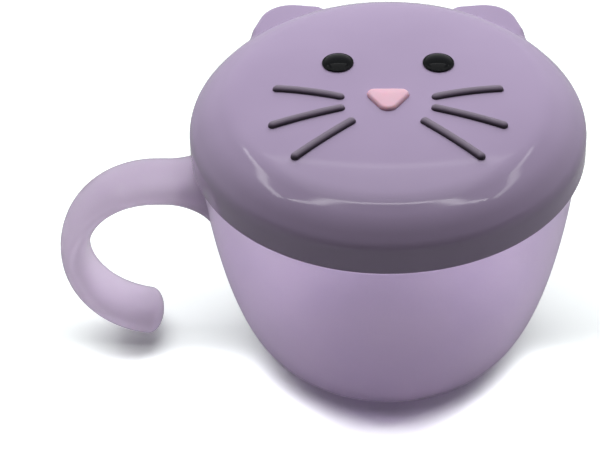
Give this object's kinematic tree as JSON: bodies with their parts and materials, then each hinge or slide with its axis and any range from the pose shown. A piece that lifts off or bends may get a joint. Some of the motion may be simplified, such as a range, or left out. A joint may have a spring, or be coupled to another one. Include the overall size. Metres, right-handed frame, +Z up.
{
  "type": "toddler snack container",
  "caption": "Round snack cup with an open hook handle, a drop-in finger trap with soft flaps and a lift-off lid with an animal face and ears.",
  "frame": {"origin": "centre of the cup's flat base, on the table", "axes": "+Z up along the cup's axis, -Y toward the front of the face, -X toward the handle"},
  "size_m": [0.142, 0.105, 0.085],
  "materials": {
    "cup_plastic": "frosted translucent",
    "handle_plastic": "satin translucent",
    "trap_plastic": "satin",
    "flap_rubber": "soft matte",
    "lid_plastic": "glossy",
    "eye_plastic": "glossy",
    "nose_rubber": "soft matte",
    "whisker_plastic": "satin"
  },
  "bodies": {
    "cup_body": {"cup": "cup_plastic", "handle": "handle_plastic"},
    "trap": {"trap_frame": "trap_plastic"},
    "flap_body_1": {"flap_1": "flap_rubber"},
    "flap_body_2": {"flap_2": "flap_rubber"},
    "flap_body_3": {"flap_3": "flap_rubber"},
    "flap_body_4": {"flap_4": "flap_rubber"},
    "flap_body_5": {"flap_5": "flap_rubber"},
    "flap_body_6": {"flap_6": "flap_rubber"},
    "flap_body_7": {"flap_7": "flap_rubber"},
    "flap_body_8": {"flap_8": "flap_rubber"},
    "lid_body": {"lid": "lid_plastic", "eye_left": "eye_plastic", "eye_right": "eye_plastic", "nose": "nose_rubber", "whisker_upper_left": "whisker_plastic", "whisker_middle_left": "whisker_plastic", "whisker_lower_left": "whisker_plastic", "whisker_upper_right": "whisker_plastic", "whisker_middle_right": "whisker_plastic", "whisker_lower_right": "whisker_plastic"}
  },
  "joints": [
    {"name": "trap_lift", "type": "slide", "parent": "cup_body", "child": "trap", "axis": [0, 0, 1], "range_m": [0, 0.06]},
    {"name": "lid_lift", "type": "slide", "parent": "trap", "child": "lid_body", "axis": [0, 0, 1], "range_m": [0, 0.06]},
    {"name": "flap_hinge_1", "type": "hinge", "parent": "trap", "child": "flap_body_1", "pos_m": [0.035, 0, 0.0633], "axis": [0, -1, 0], "range_deg": [-25, 60], "stiffness_Nm_per_rad": 0.01},
    {"name": "flap_hinge_2", "type": "hinge", "parent": "trap", "child": "flap_body_2", "pos_m": [0.02475, 0.02475, 0.0633], "axis": [0.7071, -0.7071, 0], "range_deg": [-25, 60], "stiffness_Nm_per_rad": 0.01},
    {"name": "flap_hinge_3", "type": "hinge", "parent": "trap", "child": "flap_body_3", "pos_m": [0, 0.035, 0.0633], "axis": [1, 0, 0], "range_deg": [-25, 60], "stiffness_Nm_per_rad": 0.01},
    {"name": "flap_hinge_4", "type": "hinge", "parent": "trap", "child": "flap_body_4", "pos_m": [-0.02475, 0.02475, 0.0633], "axis": [0.7071, 0.7071, 0], "range_deg": [-25, 60], "stiffness_Nm_per_rad": 0.01},
    {"name": "flap_hinge_5", "type": "hinge", "parent": "trap", "child": "flap_body_5", "pos_m": [-0.035, 0, 0.0633], "axis": [0, 1, 0], "range_deg": [-25, 60], "stiffness_Nm_per_rad": 0.01},
    {"name": "flap_hinge_6", "type": "hinge", "parent": "trap", "child": "flap_body_6", "pos_m": [-0.02475, -0.02475, 0.0633], "axis": [-0.7071, 0.7071, 0], "range_deg": [-25, 60], "stiffness_Nm_per_rad": 0.01},
    {"name": "flap_hinge_7", "type": "hinge", "parent": "trap", "child": "flap_body_7", "pos_m": [0, -0.035, 0.0633], "axis": [-1, 0, 0], "range_deg": [-25, 60], "stiffness_Nm_per_rad": 0.01},
    {"name": "flap_hinge_8", "type": "hinge", "parent": "trap", "child": "flap_body_8", "pos_m": [0.02475, -0.02475, 0.0633], "axis": [-0.7071, -0.7071, 0], "range_deg": [-25, 60], "stiffness_Nm_per_rad": 0.01}
  ]
}
